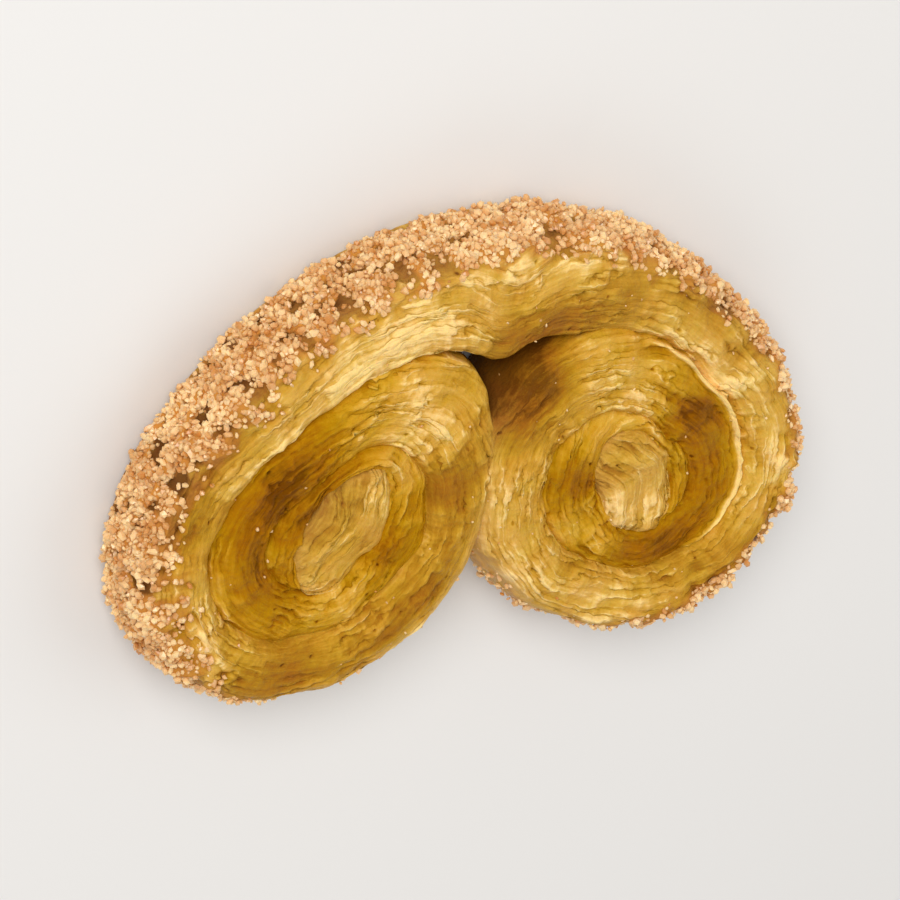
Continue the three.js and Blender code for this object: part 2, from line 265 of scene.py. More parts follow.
ARCH_SPOTS = (
    (5, 10, 0.75, 0.25, 0.4),  # amber beside the sugar
    (30, 15, 0.25, 0.5, -0.3),  # pale left half
    (53, 12, 0.15, 0.3, 0.6),  # caramel over the hole
    (65, 5, 0.5, 0.25, 0.3),  # burnt spot
    (60, 30, 1.0, 0.25, -0.2),  # pale below the sugar
    (80, 10, 0.75, 0.25, 0.3),  # amber streaks, right
    (90, 10, 0.0, 0.25, -0.4),  # pale right end
)
LEFT_CORE_SPOTS = (
    (15, 20, 0.5, 0.25, -0.2),  # pale foot
    (60, 40, 1.0, 0.25, 0.3),  # amber side
    (90, 20, 0.0, 0.5, -0.3),  # pale head
)
RIGHT_CORE_SPOTS = (
    (0, 10, 0.5, 1.0, 0.3),  # amber foot
    (35, 20, 0.5, 0.5, -0.2),  # floury middle
    (75, 20, 0.5, 0.25, 0.2),  # amber head
)
# How dry and pale the crumb is, from 0 caramelised to 1 floury
DRY = {"outer": 0.45, "inner": 0.1, "arch": 0.6, "core": 0.7}

# How the sheet is wound, in millimetres and degrees of winding, as in the solid part. The reach
# is the outer radius where a roll begins, and the pitch what each turn takes off it. The oval and
# the corner bulge it out. Sugar covers the rim up to sugar_end, and spills onto the face by a
# wandering width, and by spill_more over the angles of spill_over.
LEFT = {
    "side": -1,
    "centre": (-13.6, -6.6),
    "reach": 18.1,
    "pitch": 5.55,
    "oval": 0.9,
    "oval_at": 116,
    "corner": 4.5,
    "corner_at": 331,
    "corner_width": 33,
    "sugar_end": 120,
    "spill": (1.4, 0.0, 3, 0),
    "spill_more": 2.0,
    "spill_over": (70, 115),
    "lip": 0.0,
    "spots": LEFT_SPOTS,
    "core_spots": LEFT_CORE_SPOTS,
    "core": {"centre": (-12.8, -6.1), "half": (3.6, 6.0), "turned_by": 28},
}
RIGHT = {
    "side": 1,
    "centre": (16, -6),
    "reach": 18.0,
    "pitch": 5.7,
    "oval": 1.2,
    "oval_at": 106,
    "corner": 4.7,
    "corner_at": 330,
    "corner_width": 47,
    "sugar_end": 150,
    "spill": (1.3, 0.3, 3, 0),
    "spill_more": 0.7,
    "spill_over": (ARCH_FROM, 85),
    "lip": 0.8,  # the right inner turn has a torn lip
    "spots": RIGHT_SPOTS,
    "core_spots": RIGHT_CORE_SPOTS,
    "core": {"centre": (16.4, -5.6), "half": (3.5, 5.6), "turned_by": -28},
}


def linear(hex_colour):
    """An sRGB hex colour as linear red, green and blue."""
    parts = [int(hex_colour[i : i + 2], 16) / 255 for i in (1, 3, 5)]
    return tuple(p / 12.92 if p <= 0.04045 else ((p + 0.055) / 1.055) ** 2.4 for p in parts)


def length_of(name, default, description):
    """A size property in metres, from a default in millimetres."""
    return bpy.props.FloatProperty(
        name=name,
        description=description,
        default=default * MM,
        min=0.0,
        unit="LENGTH",
        subtype="DISTANCE",
        precision=5,
    )


def colour_of(name, default, description):
    """A colour property, from an sRGB hex default."""
    return bpy.props.FloatVectorProperty(
        name=name,
        description=description,
        default=linear(default),
        min=0.0,
        max=1.0,
        size=3,
        subtype="COLOR",
    )


class PalmierSizes(bpy.types.PropertyGroup):
    """Sizes of the baked sheet and its crust."""

    arch_height: length_of("Arch height", 8.85, "Height of the arch")
    outer_height: length_of("Outer turn height", 8.65, "Height of the outer turns")
    inner_height: length_of("Inner turn height", 7.9, "Height of the inner turns")
    core_height: length_of("Core height", 8.2, "Height of the two cores")
    shoulder: length_of("Shoulder", 1.25, "Width over which the edge of a turn is rounded off")
    crown: length_of("Crown", 0.65, "How far the middle of a turn stands above its sides")
    foot: length_of("Foot", 0.5, "Rounding where a turn meets the underside")
    bulge: length_of("Bulge", 0.45, "How far the walls bulge")
    layer_height: length_of("Layer height", 0.5, "How far the layers stand above each other")
    layer_spacing: length_of("Layer spacing", 0.8, "Width of one layer on the face")
    groove: length_of("Groove", 0.3, "Depth of the groove between two layers")
    blister_height: length_of("Blister height", 0.7, "Height of the blisters and dips")
    crystal: length_of("Crystal size", 0.8, "Length of an average sugar crystal")
    crystal_gap: length_of("Crystal gap", 0.35, "Least distance between two crystals")


class PalmierColours(bpy.types.PropertyGroup):
    """Colours of the crumb, the caramel and the sugar."""

    cream: colour_of("Cream", "#fcd883", "Palest crumb")
    pale: colour_of("Pale", "#d8ab3f", "Lightly baked crumb")
    gold: colour_of("Gold", "#c6961b", "Baked crumb")
    amber: colour_of("Amber", "#ae7e00", "Caramelised crumb")
    brown: colour_of("Brown", "#9c6600", "Dark caramel")
    # the burnt colour also serves as painted shade in deep slits and down the hole's walls
    burnt: colour_of("Burnt", "#704300", "Burnt edges and deep slits")
    sugar: colour_of("Sugar", "#f9d097", "Palest sugar crystals")
    toasted: colour_of("Toasted sugar", "#c8853d", "Sugar crystals that have melted a little")
    floor: colour_of("Floor", "#e6e4e1", "Studio floor")


def add(tree, kind, links=None, **settings):
    """Adds a node with its settings. links gives each input a socket or a value."""
    node = tree.nodes.new(kind)
    for key, value in settings.items():
        setattr(node, key, value)
    for key, value in (links or {}).items():
        by_name = (s for s in node.inputs if s.enabled and s.name == key)
        socket = node.inputs[key] if isinstance(key, int) else next(by_name)
        if isinstance(value, bpy.types.NodeSocket):
            tree.links.new(value, socket)
        else:
            socket.default_value = value
    return node


def node_tree(name, inputs, outputs=(("Geometry", "NodeSocketGeometry"),)):
    """A Geometry Nodes tree, its inputs and its output node.

    Each named input is (name, kind) or (name, kind, default).
    """
    tree = bpy.data.node_groups.new(name, "GeometryNodeTree")
    for label, kind, *default in inputs:
        socket = tree.interface.new_socket(label, in_out="INPUT", socket_type=kind)
        if default:
            socket.default_value = default[0]
    for label, kind in outputs:
        tree.interface.new_socket(label, in_out="OUTPUT", socket_type=kind)
    given = add(tree, "NodeGroupInput").outputs
    return tree, given, add(tree, "NodeGroupOutput")


def grown(name, guide, tree, values):
    """The plain mesh object that a tree makes of a guide mesh with the given input values."""
    source = bpy.data.objects.new(name + "_guide", guide)
    bpy.context.scene.collection.objects.link(source)
    modifier = source.modifiers.new(tree.name, "NODES")
    modifier.node_group = tree
    for item in tree.interface.items_tree:
        if item.name in values and item.in_out == "INPUT":
            modifier[item.identifier] = values[item.name]
    graph = bpy.context.evaluated_depsgraph_get()
    mesh = bpy.data.meshes.new_from_object(
        source.evaluated_get(graph), preserve_all_data_layers=True, depsgraph=graph
    )
    source.modifiers.remove(modifier)
    bpy.data.objects.remove(source)
    if not mesh.polygons:
        raise RuntimeError(f"{name} came out empty")
    mesh.name = name
    piece = bpy.data.objects.new(name, mesh)
    bpy.context.scene.collection.objects.link(piece)
    return piece


# ---------------------------------------------------------------- the sheet as it is wound


def reach_at(roll, angle):
    """Radius of the outer edge of the sheet at a winding angle."""
    r = roll["reach"] - roll["pitch"] * angle / 360
    r += roll["oval"] * math.cos(math.radians(2 * (angle - roll["oval_at"])))
    for turn, share in enumerate(CORNER_FADE):
        off = (angle - roll["corner_at"] - 360 * turn) / roll["corner_width"]
        r += share * roll["corner"] * math.exp(-off * off)
    return r


def on_roll(roll, angle, r):
    """The point of a roll at a winding angle and a radius."""
    a = math.radians(angle)
    x = roll["centre"][0] + roll["side"] * r * math.sin(a)
    return Vector((x, roll["centre"][1] + r * math.cos(a)))


def core_axes(roll):
    """Unit vectors across and along the oval core."""
    turn = math.radians(roll["core"]["turned_by"])
    return (
        Vector((math.cos(turn), -math.sin(turn))),
        Vector((math.sin(turn), math.cos(turn))),
    )


def core_at(roll, angle):
    """Radius of the core's edge seen from the roll's centre, found by stepping inwards."""
    wide, tall = core_axes(roll)
    half = roll["core"]["half"]
    for step in range(CORE_STEPS, 0, -1):
        off = on_roll(roll, angle, step * CORE_STEP) - Vector(roll["core"]["centre"])
        if (off.dot(wide) / half[0]) ** 2 + (off.dot(tall) / half[1]) ** 2 < 1:
            return step * CORE_STEP
    return 0.0


def smooth(value, low, high):
    """0 below low, 1 above high, and an even rise between them."""
    t = min(max((value - low) / (high - low), 0.0), 1.0)
    return t * t * (3 - 2 * t)


def browned(level, spots, at):
    """Browning at five places from the inner to the outer edge."""
    tones = []
    for across in (0.0, 0.25, 0.5, 0.75, 1.0):
        tone = level
        for place, reach, side, wide, amount in spots:
            off = ((at - place) / reach) ** 2 + ((across - side) / wide) ** 2
            tone += amount * math.exp(-off)
        tones.append(min(max(tone, 0.0), 1.0))
    return tones


def mix(a, b, share):
    """A number between two others."""
    return a + (b - a) * share


def wandering(kind, at):
    """Something that wanders along the sheet."""
    mean, swing, often, start = kind
    return mean + swing * math.sin(often * at + start)


def turn_section(roll, angle, sizes):
    """A section of a turn: its two edges, heights, browning, seams and sugar."""
    outer = reach_at(roll, angle) + LAP
    inner = max(reach_at(roll, angle + 360), core_at(roll, angle)) - LAP
    phase = math.radians(angle) * roll["side"]
    free = 1 - smooth(angle, *RIM_ENDS)
    last = smooth(angle, *LAST_TURN)
    joined = smooth(angle, *JOIN_BEGINS) * (1 - smooth(angle, *JOIN_ENDS))
    inner_seam = wandering(INNER_SEAM, phase) - LAST_SHARPER * last
    outer_seam = (wandering(OUTER_SEAM, phase) + RIM_ROUNDER * free) * (1 - JOINED_SHARPER * joined)
    lip = roll["lip"] * smooth(angle, *LIP_BEGINS) * (1 - smooth(angle, *LIP_ENDS))
    more = roll["spill_more"] * smooth(angle, *roll["spill_over"])
    spill = wandering(roll["spill"], phase) + more
    end = roll["sugar_end"]
    thins = SUGAR_THINS * smooth(angle, end + THINS_OVER[0], end + THINS_OVER[1])
    sugar = (1 - thins) * (1 - smooth(angle, *SUGAR_ENDS))
    level = mix(OUTER_TURN, INNER_TURN, smooth(angle, *TONED))
    return {
        "inner": on_roll(roll, angle, inner),
        "outer": on_roll(roll, angle, outer),
        "height": mix(sizes.outer_height, sizes.inner_height, smooth(angle, *LOWER)),
        "browning": browned(level, roll["spots"], angle),
        "dry": mix(DRY["outer"], DRY["inner"], smooth(angle, *GLAZED)),
        "inner_seam": inner_seam * MM,
        "outer_seam": outer_seam * MM,
        "lip": lip * MM,
        "sugar": sugar,
        "spill": spill * (1 - smooth(angle, end, end + SPILL_FADES)) * MM,
        "fold": 0.0,
        "walls": (TURN_WALL, mix(FREE_WALL, 1.0, smooth(angle, *WALLED))),
    }


def turn_sections(roll, low, high, sizes):
    """Sections of a roll from one winding angle to another."""
    sections = []
    angle = low
    while angle < high:
        section = turn_section(roll, angle, sizes)
        if (section["outer"] - section["inner"]).length < LAST_WIDTH:
            return sections
        sections.append(section)
        middle = (section["outer"] + section["inner"]) / 2 - Vector(roll["centre"])
        angle += math.degrees(SPACING / middle.length)
    sections.append(turn_section(roll, high, sizes))
    return sections


def bezier(a, ahead_of_a, b, ahead_of_b, arms, count):
    """Points of a cubic curve that leaves one edge point and enters the other."""
    c = a + (a - ahead_of_a).normalized() * arms[0]
    d = b + (b - ahead_of_b).normalized() * arms[1]
    points = []
    for i in range(count + 1):
        t = i / count
        s = 1 - t
        points.append(a * s**3 + c * (3 * s * s * t) + d * (3 * s * t * t) + b * t**3)
    return points


def running(points):
    """The distance from the first point to each point of a line."""
    sums = [0.0]
    for a, b in zip(points, points[1:]):
        sums.append(sums[-1] + (b - a).length)
    return sums


def spaced(points, count):
    """count + 1 points at equal distances along a line of points."""
    sums = running(points)
    result = []
    k = 0
    for i in range(count + 1):
        target = sums[-1] * i / count
        while k < len(points) - 2 and sums[k + 1] < target:
            k += 1
        part = (target - sums[k]) / (sums[k + 1] - sums[k])
        result.append(points[k].lerp(points[k + 1], part))
    return result


def arch_edges(sizes):
    """The outer and the inner edge of the arch, from the left roll to the right one."""
    ends = []
    lying = []
    for roll, hole_from in zip((LEFT, RIGHT), HOLE_FROM):
        ends += [turn_section(roll, ARCH_FROM + on, sizes)["outer"] for on in (0, 1)]
        steps = range(2 * (ARCH_FROM + 360 - hole_from) + 1)
        angles = [ARCH_FROM + 360 - step / 2 for step in steps]
        lying.append([on_roll(roll, a, reach_at(roll, a) - LAP) for a in angles])
    outer = bezier(*ends, OUTER_ARMS, CURVE_POINTS[0])
    back = -1 - LEAVING_STEPS
    left, right = lying
    over = bezier(left[-1], left[back], right[-1], right[back], INNER_ARMS, CURVE_POINTS[1])
    return outer, left + over[1:-1] + right[::-1]


def arch_sections(sizes):
    """Sections of the arch from the left roll, across the hole, to the right roll."""
    outer, inner = arch_edges(sizes)
    count = round(ARCH_CLOSENESS * running(outer)[-1] / SPACING)
    sections = []
    for i, (o, n) in enumerate(zip(spaced(outer, count), spaced(inner, count))):
        part = i / count
        rise = math.sin(math.pi * part)
        off = (n.x - SAG["at"]) / SAG["half_width"]
        over_hole = smooth(part, *HOLE_BEGINS) * (1 - smooth(part, *HOLE_ENDS))
        more = ARCH_SPILL_MORE * (1 - smooth(part, *ARCH_SPILL_OVER))
        sections.append(
            {
                "inner": Vector((n.x, n.y - SAG["depth"] * math.exp(-off * off))),
                "outer": o,
                "height": mix(sizes.outer_height, sizes.arch_height, rise),
                "browning": browned(ARCH, ARCH_SPOTS, 100 * part),
                "dry": DRY["arch"],
                "inner_seam": (wandering(ARCH_SEAM, part) + HOLE_ROUNDER * over_hole) * MM,
                "outer_seam": ARCH_RIM * MM,
                "lip": 0.0,
                "sugar": 1.0,
                "spill": (ARCH_SPILL + more) * MM,
                "fold": 0.0,
                # the hole's wall is painted dark as painted shade
                "walls": (HOLE_WALL_SHADE, FREE_WALL),
            }
        )
    return sections


def core_sections(roll, sizes):
    """Sections of a core, where the end of the sheet is folded on itself, along its oval."""
    wide, tall = core_axes(roll)
    half_wide, half_tall = (h + LAP for h in roll["core"]["half"])
    centre = Vector(roll["core"]["centre"])
    count = round(CORE_CLOSENESS * half_tall / SPACING)
    sections = []
    for i in range(count + 1):
        t = -math.cos(math.pi * (CORE_FROM + CORE_SPAN * i / count))
        chord = math.sqrt(1 - abs(t) ** CORE_BLUNT)
        middle = centre + tall * (half_tall * t)
        inner, outer = (half_wide * chord * wandering(kind, t) for kind in CORE_EDGES)
        sections.append(
            {
                "inner": middle + wide * inner,
                "outer": middle - wide * outer,
                "height": sizes.core_height - CORE_SAG * MM * (1 - chord),
                "browning": browned(CORE, roll["core_spots"], 100 * i / count),
                "dry": DRY["core"],
                "inner_seam": CORE_SEAMS[0] * MM,
                "outer_seam": CORE_SEAMS[1] * MM,
                "lip": 0.0,
                "sugar": 0.0,
                "spill": 0.0,
                "fold": CORE_FOLD * MM * chord,
                "walls": (CORE_WALL, CORE_WALL),
            }
        )
    return sections


def measured(sections, start, ends_there=False):
    """Notes at each section how far along the sheet it is, and gives where the length ends."""
    sums = running([(s["inner"] + s["outer"]) / 2 for s in sections])
    begin = start - sums[-1] if ends_there else start
    for section, distance in zip(sections, sums):
        section["along"] = begin + distance
    return begin if ends_there else begin + sums[-1]


def tongued(sections):
    """The length with hidden ends that taper inside the lengths it is joined to."""
    rows = [dict(s, lift=0.0, open=1.0) for s in sections]
    count = max(2, round(TONGUE / SPACING))
    for end, before, front in ((rows[0], rows[1], True), (rows[-1], rows[-2], False)):
        for i in range(1, count + 2):
            part = i / count
            root, tip = TONGUE_NARROWS
            step = (end["outer"] + end["inner"] - before["outer"] - before["inner"]) / 2
            middle = (end["outer"] + end["inner"]) / 2 + step * min(i, count)
            half = (end["outer"] - end["inner"]) / 2 * (1 - root - tip * part)
            row = dict(end, outer=middle + half, inner=middle - half)
            row["along"] = end["along"] + (end["along"] - before["along"]) * min(i, count)
            row["height"] = end["height"] - (TONGUE_SINKS[0] + TONGUE_SINKS[1] * part) * MM
            row["lift"] = (TONGUE_LIFTS[0] + TONGUE_LIFTS[1] * part) * MM
            row["open"] = 1.0 if i <= count else 0.0
            rows.insert(0 if front else len(rows), row)
    return rows


def sheet_lengths(sizes):
    """All lengths of the sheet, each as sections that run with the roll on their right."""
    left, right = (turn_sections(roll, ARCH_FROM, SPLITS[0], sizes) for roll in (LEFT, RIGHT))
    lengths = [left[:0:-1] + arch_sections(sizes) + right[1:]]
    left_end = 0.0
    right_end = measured(lengths[0], 0.0)
    for low, high in zip(SPLITS, SPLITS[1:]):
        lengths.append(turn_sections(LEFT, low, high, sizes)[::-1])
        left_end = measured(lengths[-1], left_end, ends_there=True)
        lengths.append(turn_sections(RIGHT, low, high, sizes))
        right_end = measured(lengths[-1], right_end)
    for roll, end, apart in zip((LEFT, RIGHT), (left_end, right_end), CORE_APART):
        lengths.append(core_sections(roll, sizes))
        measured(lengths[-1], end + apart)
    return lengths


def guide_mesh(lengths):
    """The sections as rungs, an inner and an outer point each, with what the tree reads."""
    points = []
    facts = {name: [] for name in FACTS}
    numbers = []
    for number, sections in enumerate(lengths):
        for row in tongued(sections):
            tones = row["browning"]
            told = (
                (row["height"], row["lift"], row["open"]),
                tones[:3],
                (*tones[3:], row["dry"]),
                (row["inner_seam"], row["outer_seam"], row["lip"]),
                (row["along"] * MM, row["sugar"], row["fold"]),
                (*row["walls"], row["spill"]),
            )
            for edge in (row["inner"], row["outer"]):
                points.append(((edge.x - MIDDLE[0]) * MM, (edge.y - MIDDLE[1]) * MM, 0.0))
                numbers.append(number)
                for name, three in zip(FACTS, told):
                    facts[name] += three
    mesh = bpy.data.meshes.new("sections")
    mesh.from_pydata(points, [(i, i + 1) for i in range(0, len(points), 2)], [])
    for name, values in facts.items():
        mesh.attributes.new(name, "FLOAT_VECTOR", "POINT").data.foreach_set("vector", values)
    mesh.attributes.new("length", "INT", "POINT").data.foreach_set("value", numbers)
    return mesh


def outline_object():
    """The outline of a section: x runs from inner to outer edge, y from underside to top."""
    points = [(0.0, i / WALL_POINTS) for i in range(WALL_POINTS)]
    for i in range(TOP_POINTS):
        # over the top the points lie closer together at both edges
        t = i / TOP_POINTS
        points.append((0.45 * t + 0.55 * (0.5 - 0.5 * math.cos(math.pi * t)), 1.0))
    points += [(1.0, 1 - i / RIM_POINTS) for i in range(RIM_POINTS)]
    points += [(1 - i / UNDER_POINTS, 0.0) for i in range(UNDER_POINTS + 1)]
    mesh = bpy.data.meshes.new("section_outline")
    mesh.from_pydata([(x, y, 0.0) for x, y in points], [], [])
    return bpy.data.objects.new("section_outline", mesh)


# ---------------------------------------------------------------- nodes that are used again


def made(tree, kind, links=None, **settings):
    """Adds a node and gives its first output."""
    return add(tree, kind, links, **settings).outputs[0]


def calc(tree, operation, *values, clamp=False):
    """The result of a Math node."""
    links = dict(enumerate(values))
    return made(tree, "ShaderNodeMath", links, operation=operation, use_clamp=clamp)


def vector(tree, operation, *values):
    """The result of a Vector Math node."""
    return made(tree, "ShaderNodeVectorMath", dict(enumerate(values)), operation=operation)


def scaled(tree, value, scale):
    """A vector times a number."""
    return made(tree, "ShaderNodeVectorMath", {0: value, "Scale": scale}, operation="SCALE")


def whole(tree, operation, *values):
    """The result of an Integer Math node."""
    return made(tree, "FunctionNodeIntegerMath", dict(enumerate(values)), operation=operation)


def compared(tree, operation, a, b):
    """Whether two whole numbers compare in this way."""
    links = {"A": a, "B": b}
    return made(tree, "FunctionNodeCompare", links, data_type="INT", operation=operation)


def ranged(tree, value, given, wanted=(0.0, 1.0), eased=False, clamp=True):
    """A value brought from one range, low and high, to another."""
    ends = zip(("From Min", "From Max", "To Min", "To Max"), (*given, *wanted))
    kind = "SMOOTHSTEP" if eased else "LINEAR"
    links = {"Value": value, **dict(ends)}
    return made(tree, "ShaderNodeMapRange", links, interpolation_type=kind, clamp=clamp)


def noise(tree, at, width, detail=2.0, roughness=0.5, dimensions="3D"):
    """Noise with lumps about as wide as this, as the outputs Fac and Color."""
    links = {"Vector": at, "Scale": 1 / width, "Detail": detail, "Roughness": roughness}
    return add(tree, "ShaderNodeTexNoise", links, noise_dimensions=dimensions).outputs


def combined(tree, x=0.0, y=0.0, z=0.0):
    """A vector of three numbers."""
    return made(tree, "ShaderNodeCombineXYZ", {"X": x, "Y": y, "Z": z})


def parts_of(tree, value):
    """The three numbers of a vector or colour."""
    return add(tree, "ShaderNodeSeparateXYZ", {"Vector": value}).outputs


def random_between(tree, low, high, seed, kind="FLOAT"):
    """A random value of a kind for each element."""
    links = {"Min": low, "Max": high, "Seed": seed}
    node = add(tree, "FunctionNodeRandomValue", links, data_type=kind)
    return node.outputs[{"FLOAT_VECTOR": 0, "FLOAT": 1, "INT": 2}[kind]]


def attribute(tree, name, kind="FLOAT_VECTOR"):
    """A named attribute, read in a Geometry Nodes tree."""
    return made(tree, "GeometryNodeInputNamedAttribute", {"Name": name}, data_type=kind)


def stored(tree, geometry, name, value, domain, kind="FLOAT_VECTOR"):
    """The geometry with a value stored on it under a name."""
    links = {"Geometry": geometry, "Name": name, "Value": value}
    return made(
        tree, "GeometryNodeStoreNamedAttribute", links, data_type=kind, domain=domain
    )


def sampled(tree, geometry, value, index):
    """A vector read at one point of a geometry."""
    links = {"Geometry": geometry, "Value": value, "Index": index}
    return made(tree, "GeometryNodeSampleIndex", links, data_type="FLOAT_VECTOR")


def moved(tree, geometry, **to):
    """The geometry with its points moved: to a Position, or by an Offset."""
    return made(tree, "GeometryNodeSetPosition", {"Geometry": geometry, **to})


def point_count(tree, geometry):
    """How many points a geometry has."""
    size = add(tree, "GeometryNodeAttributeDomainSize", {"Geometry": geometry})
    return size.outputs["Point Count"]


def end_tree(tree, geometry, material, out):
    """Makes all instances real, puts the material on and links the result to the output."""
    real = made(tree, "GeometryNodeRealizeInstances", {"Geometry": geometry})
    links = {"Geometry": real, "Material": material}
    tree.links.new(made(tree, "GeometryNodeSetMaterial", links), out.inputs[0])


def blended(tree, factor, a, b):
    """A colour between two others."""
    links = {"Factor": factor, "A": a, "B": b}
    return add(tree, "ShaderNodeMix", links, data_type="RGBA").outputs[2]


# ---------------------------------------------------------------- layers and their relief


def rounding_tree():
    """How far an edge is rounded off at a distance from it, as a share of the full drop."""
    tree, given, out = node_tree(
        "rounded edge", (("Distance", FLOAT), ("Width", FLOAT)), (("Share", FLOAT),)
    )
    part = calc(tree, "DIVIDE", given["Distance"], given["Width"])
    left = calc(tree, "SUBTRACT", 1.0, part, clamp=True)
    square = calc(tree, "MULTIPLY", left, left)
    under = calc(tree, "SUBTRACT", 1.0, square, clamp=True)
    root = calc(tree, "SQRT", under)
    tree.links.new(calc(tree, "SUBTRACT", 1.0, root), out.inputs["Share"])
    return tree


def layers(tree, place, spacing):
    """The thin layers of the sheet, side by side across a turn, for a shape or a finish alike.

    The place is how far along the sheet and how far from its inner edge. Gives sockets with the
    share across a layer, and three levels of its own, about 0.5, that change along it.
    """
    run, strip, _ = parts_of(tree, place)
    strip = calc(tree, "DIVIDE", strip, spacing)
    for along, across, amount in LAYER_DRIFTS:
        at = vector(tree, "MULTIPLY", place, (1 / along, 1 / across, 0.0))
        drift = noise(tree, at, 1.0, dimensions="2D")["Fac"]
        strip = calc(tree, "MULTIPLY_ADD", drift, amount, strip)
    number = calc(tree, "FLOOR", strip)
    part = calc(tree, "FRACT", strip)
    run = calc(tree, "MULTIPLY", run, 1 / LEVEL_LENGTH)
    apart = calc(tree, "MULTIPLY", number, LEVEL_STRIDE)
    own = noise(tree, combined(tree, run, apart), 1.0, *LEVEL_NOISE, "2D")
    return part, *parts_of(tree, own["Color"])


def border_of(tree, part, level):
    """How near the torn edge of a layer a place is, from 0 to 1, where that edge has lifted."""
    border = calc(tree, "MULTIPLY_ADD", part, 2.0, -1.0)
    border = calc(tree, "ABSOLUTE", border)
    border = calc(tree, "POWER", border, BORDER_SHARPNESS)
    lifted = ranged(tree, level, LIFTED, eased=True)
    return calc(tree, "MULTIPLY", border, lifted)


def pits(tree, place):
    """Small pits where a bubble has burst, from 0 to 1: about 0.4 mm wide, few and scattered."""
    at = vector(tree, "MULTIPLY", place, (1 / PIT_CELL, 1 / PIT_CELL, 0.0))
    links = {"Vector": at, "Scale": 1.0}
    cells = add(tree, "ShaderNodeTexVoronoi", links, voronoi_dimensions="2D").outputs
    near = ranged(tree, cells["Distance"], PIT_EDGE, (1.0, 0.0), eased=True)
    chance = parts_of(tree, cells["Color"])["X"]
    chosen = calc(tree, "GREATER_THAN", chance, PIT_CHANCE)
    return calc(tree, "MULTIPLY", near, chosen)


def relief_tree():
    """Height of the baked relief at a place of the sheet: layers, blisters, crumb and pits."""
    tree, given, out = node_tree(
        "baked relief",
        (
            ("Place", "NodeSocketVector"),
            ("Position", "NodeSocketVector"),
            *((name, FLOAT) for name in RELIEF_SIZES),
        ),
        (("Relief", FLOAT), ("Parted", FLOAT)),
    )
    part, level, tilt, lifted = layers(tree, given["Place"], given["Layer spacing"])
    # each layer stands at its own height and leans on the next one like a shingle
    step = ranged(tree, level, NOISE, (-0.5, 0.5), clamp=False)
    lean = ranged(tree, tilt, NOISE, LEAN)
    off_middle = calc(tree, "SUBTRACT", part, 0.5)
    shingle = calc(tree, "MULTIPLY_ADD", lean, off_middle, step)
    stepped = calc(tree, "MULTIPLY", shingle, given["Layer height"])
    groove = calc(tree, "MULTIPLY", border_of(tree, part, lifted), given["Groove"])
    layered = calc(tree, "SUBTRACT", stepped, groove)
    # in patches the layers have parted, and between them they are fused flat
    apart = noise(tree, given["Position"], PARTED_PATCH)["Fac"]
    parted = ranged(tree, apart, PARTED, PARTED_SHARES, eased=True)
    relief = calc(tree, "MULTIPLY", layered, parted)
    for width, height in ((BLISTER_WIDTH, given["Blister height"]), *CRUMBS):
        bumps = noise(tree, given["Position"], width, 1.5, 0.45)["Fac"]
        bump = ranged(tree, bumps, (0.25, 0.75), (-0.5, 0.5), clamp=False)
        relief = calc(tree, "MULTIPLY_ADD", bump, height, relief)
    relief = calc(tree, "MULTIPLY_ADD", pits(tree, given["Place"]), -PIT_DEPTH, relief)
    tree.links.new(relief, out.inputs["Relief"])
    tree.links.new(parted, out.inputs["Parted"])
    return tree


# ---------------------------------------------------------------- the sheet


